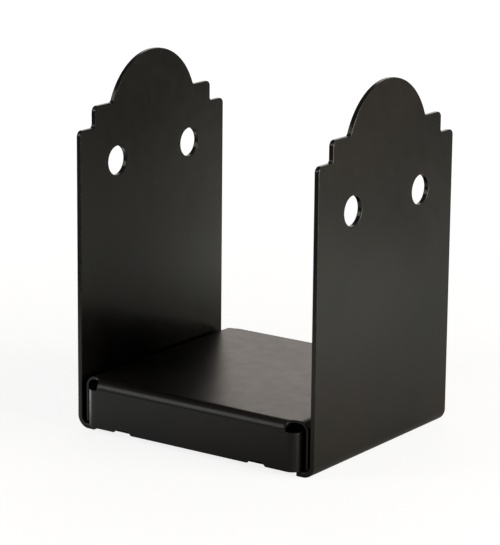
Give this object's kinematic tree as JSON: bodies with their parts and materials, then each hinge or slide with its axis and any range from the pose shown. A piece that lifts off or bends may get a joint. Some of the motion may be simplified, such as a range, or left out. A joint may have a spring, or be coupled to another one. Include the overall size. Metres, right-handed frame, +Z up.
{
  "type": "post base bracket",
  "caption": "Bent-steel U strap with stepped, domed side plates and a folded standoff pan that keeps a square timber post clear of the ground.",
  "frame": {"origin": "on the ground, at the middle of the strap's base", "axes": "+X runs from one side plate to the other, +Y to the back, +Z up"},
  "size_m": [0.1466, 0.1312, 0.1895],
  "materials": {
    "powder_coat": "satin"
  },
  "bodies": {
    "root": {"strap": "powder_coat", "standoff_pan": "powder_coat"}
  },
  "joints": []
}
